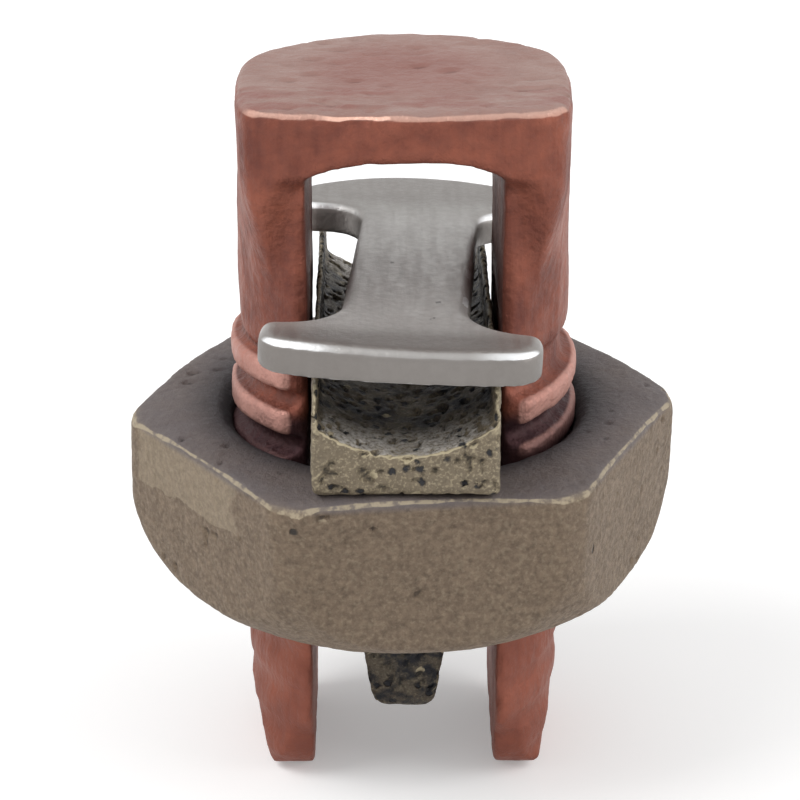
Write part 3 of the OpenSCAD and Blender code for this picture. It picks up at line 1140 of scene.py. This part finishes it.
    def _upper(self) -> BMesh:
        """The bolt's upper part, unslotted, with a rounded rim and a slight crown."""
        rim, crown = self.rim, self.crown
        edge_z = self.height - crown - rim
        levels = [(33.5 + 0.3 * i, 1.0, 0.0) for i in range(36)] + [(edge_z, 1.0, 0.0)]
        levels += [(edge_z + rim * math.sin(a), 1.0, rim * (1 - math.cos(a)))
                   for a in (math.radians(d) for d in (15, 30, 45, 60, 75, 90))]
        levels += [(self.height - crown * (1 - i / 7) ** 2, 1 - i / 7, rim * (1 - i / 7))
                   for i in range(1, 7)]
        return loft(self._reach, levels)

    def _slot(self) -> BMesh:
        """The slot between the legs, closed above by a flat arch."""
        h, top, drop = self.slot_half, self.slot_h, self.arch_drop
        bm = outline([(-h, -2.0), (h, -2.0), (h, top - drop), (h - 2.3, top), (-h + 2.9, top),
                      (-h, top - drop)])
        ease(bm, [(-h + 2.9, top), (h - 2.3, top)], 1.2, 8)
        ease(bm, [(-h, top - drop), (h, top - drop)], 0.4, 4)
        return prism(bm, -CLEAR, CLEAR, Axis.Y)

    def _worn(self, obj: Object) -> None:
        """Nicks the head's front rim and dents its top a little.

        Args:
            obj: the bolt.
        """
        rim_z = self.height - 0.6
        with editing(obj) as bm:
            bm.normal_update()
            for v in bm.verts:
                p = v.co
                rim = max(0.0, 1.0 - abs(p.z - rim_z) / 0.9) * (p.y < -7.6)
                if rim > 0.0:
                    nick = max(0.0, noise.noise(p * 0.8 + Vector((3.0, 1.0, 2.0))) - 0.15)
                    fine = max(0.0, noise.noise(p * 2.2))
                    chip = math.exp(-((p.x - self.chip_x) / self.chip_w) ** 2)
                    v.co -= v.normal * rim * (0.22 * nick + 0.06 * fine + 0.26 * chip)
                if p.z > rim_z and v.normal.z > 0.8:
                    dent = max(0.0, noise.noise(Vector((p.x * 0.5, p.y * 0.9, 4.0))) - 0.18)
                    v.co.z -= self.dent * dent

    def build(self, fx: Effects) -> Object:
        """Builds and dresses the bolt.

        Args:
            fx: the shared effects.

        Returns:
            The bolt.
        """
        obj = as_object("forged_bolt", self._rod())
        cut(obj, self._ridge(), Cut.ADD)
        cut(obj, self._envelope(), Cut.KEEP)
        cut(obj, self._view(self.end_side, self.nose_r, Axis.X), Cut.KEEP)
        cut(obj, self._view(self.end_front, self.toe_r, Axis.Y), Cut.KEEP)
        parts = [twin(obj, "other_leg"), as_object("root", self._upper()),
                 as_object("other_root", self._upper()), as_object("head", self._upper())]
        for part, side in ((obj, 1), (parts[0], -1), (parts[1], 1), (parts[2], -1)):
            cut(part, self._leg_plan(side), Cut.KEEP)
        above = outline([(-CLEAR, -CLEAR), (CLEAR, -CLEAR), (CLEAR, CLEAR), (-CLEAR, CLEAR)])
        cut(parts[3], prism(above, self.throat_z, 50.0), Cut.KEEP)
        cut(parts[3], self._slot(), Cut.REMOVE)
        for part in parts:
            join(obj, part)
        skin(obj, self.cell, 3)
        self._worn(obj)
        roughen(obj, [Relief(4.5, 0.10, 1.0), Relief(1.3, 0.05, 2.0, 2.5), Relief(0.6, 0.02, 5.0)])
        to_metres(obj)
        obj.data.materials.append(TarnishedCopper().make(fx))
        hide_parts("split_bolt")
        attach(obj, "bolt")
        return obj


@dataclass
class ClampNut:
    """The cast hex nut with its coned underside. Sizes in mm."""

    across: float = 31.7
    corner_r: float = 17.7
    foot: float = 13.1
    height: float = 11.65
    turn: float = 5.5
    draft: float = 1.8
    drafted_h: float = 16.0
    cone_angle: float = 50.0
    cone_bulge: float = 0.63
    edge_drop: float = 0.9
    bore_r: float = 11.18
    cell: float = 0.22

    def _turned(self) -> BMesh:
        """Coned underside, rounded corners and a slight drop at the top."""
        base, top, z = self.bore_r + 2.2, self.foot + self.height, self.foot
        cone = self.corner_r - base
        rise = cone * math.tan(math.radians(self.cone_angle))
        pts = [(0.0, z), (base, z)]
        for i in range(1, 8):
            t = i / 8
            swell = self.cone_bulge * math.sin(math.pi * t)
            pts.append((base + cone * t + swell, z + rise * t - swell))
        pts += [(self.corner_r, z + rise + 0.4), (self.corner_r, top - self.edge_drop),
                (self.corner_r - 0.3, top - 0.42), (self.across / 2 * 0.985, top), (0.0, top)]
        return lathe(pts)

    def _hex(self) -> BMesh:
        """Six drafted sides, widest at the top."""
        bm = bmesh.new()
        top = self.foot + self.height
        to_corner = 1.0 / math.cos(math.radians(30.0))
        shrink = math.tan(math.radians(self.draft)) * self.drafted_h
        bmesh.ops.create_cone(
            bm, cap_ends=True, segments=6, radius1=(self.across / 2 - shrink) * to_corner,
            radius2=self.across / 2 * to_corner, depth=self.drafted_h,
            matrix=Matrix.Translation((0, 0, top - self.drafted_h / 2))
            @ Matrix.Rotation(math.radians(self.turn + 30.0), 4, "Z"))
        return bm

    def _bore(self) -> BMesh:
        """Bore and the countersink round its top."""
        top = self.foot + self.height
        return lathe([(0.0, self.foot - 2.0), (self.bore_r + 0.5, self.foot - 2.0),
                      (self.bore_r + 0.5, self.foot), (self.bore_r, self.foot + 0.5),
                      (self.bore_r, top - self.edge_drop), (self.bore_r + self.edge_drop, top),
                      (self.bore_r + 1.9, top + 1.0), (0.0, top + 1.0)])

    def build(self, fx: Effects) -> Object:
        """Builds and dresses the nut.

        Args:
            fx: the shared effects.

        Returns:
            The nut.
        """
        obj = as_object("cast_nut", self._turned())
        cut(obj, self._hex(), Cut.KEEP)
        cut(obj, self._bore(), Cut.REMOVE)
        skin(obj, self.cell, 8)
        roughen(obj, [Relief(7.0, 0.16, 3.0), Relief(1.6, 0.05, 4.0), Relief(0.5, 0.03, 6.0),
                      Pitting(0.8, 0.25, 0.60, 2.0)])
        to_metres(obj)
        obj.data.materials.append(CastBronze().make(fx))
        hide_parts("clamp_nut")
        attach(obj, "nut")
        return obj


@dataclass
class PressureBar:
    """The cast bar with its conductor groove and its stem. Sizes in mm."""

    length: float = 31.8
    width: float = 11.2
    foot: float = 24.8
    height: float = 7.3
    web: float = 2.8
    floor_r: float = 8.5
    lip: float = 0.4
    stem_len: float = 21.7
    stem: Point = (5.4, 8.0)
    stem_tip: Point = (3.9, 6.4)
    stem_taper: float = 5.0
    foot_r: float = 0.9
    end_r: float = 2.4
    edge_r: float = 0.8
    tip_r: float = 1.5
    cell: float = 0.17

    def _block(self) -> BMesh:
        """The bar across the conductors, with rounded ends."""
        h, z = self.length / 2, self.foot
        bm = outline([(-h, z), (h, z), (h, z + self.height), (-h, z + self.height)])
        ease(bm, [(-h, z), (h, z)], self.foot_r)
        ease(bm, [(-h, z + self.height), (h, z + self.height)], self.end_r)
        prism(bm, -self.width / 2, self.width / 2, Axis.X)
        low = [e for e in bm.edges
               if all(v.co.z < z + 0.01 and abs(v.co.x) > 1.0 for v in e.verts)
               and abs(e.verts[0].co.x - e.verts[1].co.x) < 0.01]
        round_edges(bm, low, self.edge_r)
        return bm

    def _groove(self) -> BMesh:
        """The groove: a shallow curved floor between two thin upright lips."""
        half = self.width / 2 - self.lip
        bm = bmesh.new()
        bmesh.ops.create_circle(bm, cap_ends=True, segments=96, radius=self.floor_r)
        bmesh.ops.translate(bm, verts=bm.verts, vec=(0, self.foot + self.web + self.floor_r, 0))
        for side in (-1, 1):
            bmesh.ops.bisect_plane(
                bm, geom=[*bm.verts, *bm.edges, *bm.faces], plane_co=(side * half, 0, 0),
                plane_no=(side, 0, 0), clear_outer=True)
        bmesh.ops.remove_doubles(bm, verts=bm.verts, dist=1e-4)
        floor = self.foot + self.web + self.floor_r - math.sqrt(self.floor_r ** 2 - half ** 2)
        ease(bm, [(-half, floor), (half, floor)], 0.7, 5)
        return prism(bm, -self.length, self.length, Axis.Y)

    def _stem(self) -> BMesh:
        """The stem: upright, then drawn in to a blunt tip."""
        root, tip = self.foot + 1.4, self.foot - self.stem_len
        bm = bmesh.new()
        (wide, deep), (tip_w, tip_d), knee = self.stem, self.stem_tip, tip + self.stem_taper
        bmesh.ops.create_cube(bm, size=1.0, matrix=Matrix.Translation(
            (0, 0, (root + knee) / 2)) @ Matrix.Diagonal((wide, deep, root - knee, 1)))
        low = [f for f in bm.faces if f.normal.z < -0.9]
        drawn = bmesh.ops.extrude_face_region(bm, geom=low)
        end = [g for g in drawn["geom"] if isinstance(g, bmesh.types.BMVert)]
        bmesh.ops.delete(bm, geom=low, context="FACES")
        bmesh.ops.translate(bm, verts=end, vec=(0, 0, -self.stem_taper))
        bmesh.ops.scale(bm, vec=(tip_w / wide, tip_d / deep, 1.0), verts=end)
        edges = [e for e in bm.edges if e.verts[0] in end and e.verts[1] in end]
        round_edges(bm, edges, self.tip_r)
        bmesh.ops.recalc_face_normals(bm, faces=bm.faces)
        return bm

    def build(self, fx: Effects) -> Object:
        """Builds and dresses the bar.

        Args:
            fx: the shared effects.

        Returns:
            The bar.
        """
        obj = as_object("grooved_bar", self._block())
        cut(obj, self._groove(), Cut.REMOVE)
        cut(obj, self._stem(), Cut.ADD)
        skin(obj, self.cell, 5)
        roughen(obj, [Relief(4.0, 0.10, 8.0), Relief(0.9, 0.06, 9.0), Relief(0.4, 0.04, 10.0),
                      Pitting(0.50, 0.24, 0.30, 3.0)])
        to_metres(obj)
        obj.data.materials.append(PittedBrass().make(fx))
        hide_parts("pressure_bar")
        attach(obj, "bar")
        return obj


@dataclass
class SpacerPlate:
    """The tinned spacer plate, loose on the bar. Sizes in mm."""

    thick: float = 2.1
    half_w: float = 8.45
    neck_half: float = 3.9
    front_notch: float = 12.0
    front: float = 16.4
    rear_notch: float = 9.5
    rear: float = 16.7
    front_r: float = 40.0
    rear_r: float = 12.5
    corner_r: float = 2.1
    front_neck_r: float = 3.55
    front_horn_r: float = 0.9
    rear_neck_r: float = 2.2
    rear_horn_r: float = 1.6
    top_r: float = 0.75
    level: float = 32.365
    turn: float = -3.8
    tilt: float = 2.2
    shift: float = 0.55
    cell: float = 0.15

    def _blank(self) -> BMesh:
        """The stamping: two wide ends with curved outlines and the neck between them."""
        w, n, f, r = self.half_w, self.neck_half, self.front_notch, self.rear_notch
        front = rounded_end(w, self.front, self.front_r, self.corner_r)
        rear = rounded_end(w, self.rear, self.rear_r, self.corner_r)
        bm = outline([*[(-x, -y) for x, y in front], (w, -f), (n, -f), (n, r), (w, r), *rear,
                      (-w, r), (-n, r), (-n, -f), (-w, -f)])
        ease(bm, [(-n, -f), (n, -f)], self.front_neck_r, 14)
        ease(bm, [(-w, -f), (w, -f)], self.front_horn_r, 6)
        ease(bm, [(-n, r), (n, r)], self.rear_neck_r, 10)
        ease(bm, [(-w, r), (w, r)], self.rear_horn_r, 10)
        return prism(bm, 0.0, self.thick)

    def build(self, fx: Effects) -> Object:
        """Builds and dresses the plate.

        Args:
            fx: the shared effects.

        Returns:
            The plate.
        """
        blank = self._blank()
        rims = [e for e in blank.edges
                if len({round(v.co.z, 3) for v in e.verts}) == 1]
        top = [e for e in rims if e.verts[0].co.z > self.thick / 2]
        round_edges(blank, top, self.top_r)
        obj = as_object("spacer_plate_tin", blank)
        skin(obj, self.cell, 6)
        place = (Matrix.Translation((self.shift, 0, self.level))
                 @ Matrix.Rotation(math.radians(self.turn), 4, "Z")
                 @ Matrix.Rotation(math.radians(self.tilt), 4, "Y"))
        with editing(obj) as bm:
            bmesh.ops.transform(bm, matrix=place, verts=bm.verts)
        roughen(obj, [Relief(6.0, 0.06, 11.0), Relief(1.5, 0.012, 12.0)])
        to_metres(obj)
        obj.data.materials.append(TinPlate().make(fx))
        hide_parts("spacer_plate")
        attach(obj, "plate")
        return obj


# ---------------------------------------------------------------------- stage


@dataclass(frozen=True)
class Studio:
    """Camera, floor, backdrop and soft light."""

    eye: tuple[float, float, float] = (-0.001632, -0.15904, 0.09134)
    pitch: float = 22.78
    yaw: float = 0.51
    roll: float = -0.04
    lens: float = 119.3
    floor_lift: float = 0.25
    floor_near: float = 0.06
    floor_far: float = 0.60
    floor_z: float = -0.00008
    sky: float = 0.62

    def camera(self) -> Object:
        """Places the camera."""
        data = bpy.data.cameras.new("camera")
        data.lens, data.sensor_width = self.lens, 36.0
        data.clip_start, data.clip_end = 0.005, 20.0
        cam = bpy.data.objects.new("camera", data)
        bpy.context.scene.collection.objects.link(cam)
        p, y, r = (math.radians(a) for a in (self.pitch, self.yaw, self.roll))
        ahead = Vector((math.sin(y) * math.cos(p), math.cos(y) * math.cos(p), -math.sin(p)))
        right = Vector((math.cos(y), -math.sin(y), 0.0))
        up = right.cross(ahead)
        side = math.cos(r) * right + math.sin(r) * up
        top = -math.sin(r) * right + math.cos(r) * up
        turn = Matrix((side, top, -ahead)).transposed().to_4x4()
        cam.matrix_world = Matrix.Translation(self.eye) @ turn
        bpy.context.scene.camera = cam
        return cam

    def floor(self) -> Object:
        """A wide pale floor that keeps the object's shadow."""
        bm = bmesh.new()
        bmesh.ops.create_grid(bm, x_segments=1, y_segments=1, size=1.5)
        bmesh.ops.translate(bm, verts=bm.verts, vec=(0.0, 0.0, self.floor_z))
        obj = as_object("floor", bm)
        m, g, shader = new_material("pale_floor")
        shader.inputs["Base Color"].default_value = (0.86, 0.86, 0.86, 1.0)
        shader.inputs["Roughness"].default_value = 0.9
        shader.inputs["Specular IOR Level"].default_value = 0.0
        rays = g.put("ShaderNodeLightPath")
        seen = g.most(*(rays.outputs[f"Is {kind} Ray"] for kind in BACKDROP_RAYS))
        shader.inputs["Emission Color"].default_value = (1.0, 1.0, 1.0, 1.0)
        x, y, _ = g.split(g.place())
        far = g.off_axis(x, y)
        lift = g.ramp(far, self.floor_near, self.floor_far, self.floor_lift, 1.0)
        g.feed(shader.inputs["Emission Strength"], g.times(seen, lift))
        obj.data.materials.append(m)
        return obj

    def lamp(self, name: str, place: tuple[float, float, float], size: float,
             power: float) -> Object:
        """A soft square lamp aimed at the middle of the object.

        Args:
            name: the lamp's name.
            place: where it hangs.
            size: length of its side.
            power: its power in watts.

        Returns:
            The lamp.
        """
        data = bpy.data.lights.new(name, "AREA")
        data.shape, data.size, data.energy = "SQUARE", size, power
        obj = bpy.data.objects.new(name, data)
        bpy.context.scene.collection.objects.link(obj)
        obj.location = place
        obj.rotation_euler = (Vector((0, 0, 0.025)) - Vector(place)).to_track_quat("-Z", "Y").to_euler()
        return obj

    def world(self) -> None:
        """White behind the object, plain grey-white light round it."""
        world = bpy.data.worlds.new("studio")
        bpy.context.scene.world = world
        world.use_nodes = True
        g = Graph(world.node_tree)
        rays = g.put("ShaderNodeLightPath")
        seen = g.most(*(rays.outputs[f"Is {kind} Ray"] for kind in BACKDROP_RAYS))
        sky = g.put("ShaderNodeBackground")
        g.feed(sky.inputs["Color"], (1.0, 1.0, 1.0))
        g.feed(sky.inputs["Strength"], g.ramp(seen, 0.0, 1.0, self.sky, 1.0))
        out = g.put("ShaderNodeOutputWorld")
        g.feed(out.inputs["Surface"], sky.outputs[0])

    def build(self) -> None:
        """Sets the whole stage."""
        self.floor()
        self.lamp("key", (-0.42, -0.16, 0.55), 0.40, 2.4)
        self.lamp("fill", (0.50, -0.12, 0.34), 0.40, 1.4)
        self.world()
        bpy.context.scene.view_settings.view_transform = "Standard"


def main() -> None:
    """Builds the object in order and reports each piece."""
    studio = Studio()
    studio.camera()
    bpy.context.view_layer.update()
    fx = Effects()
    for maker in (SplitBolt(), ClampNut(), PressureBar(), SpacerPlate()):
        piece = maker.build(fx)
        log.info("%s: %d faces", piece.name, len(piece.data.polygons))
    studio.build()


if __name__ == "__main__":
    main()
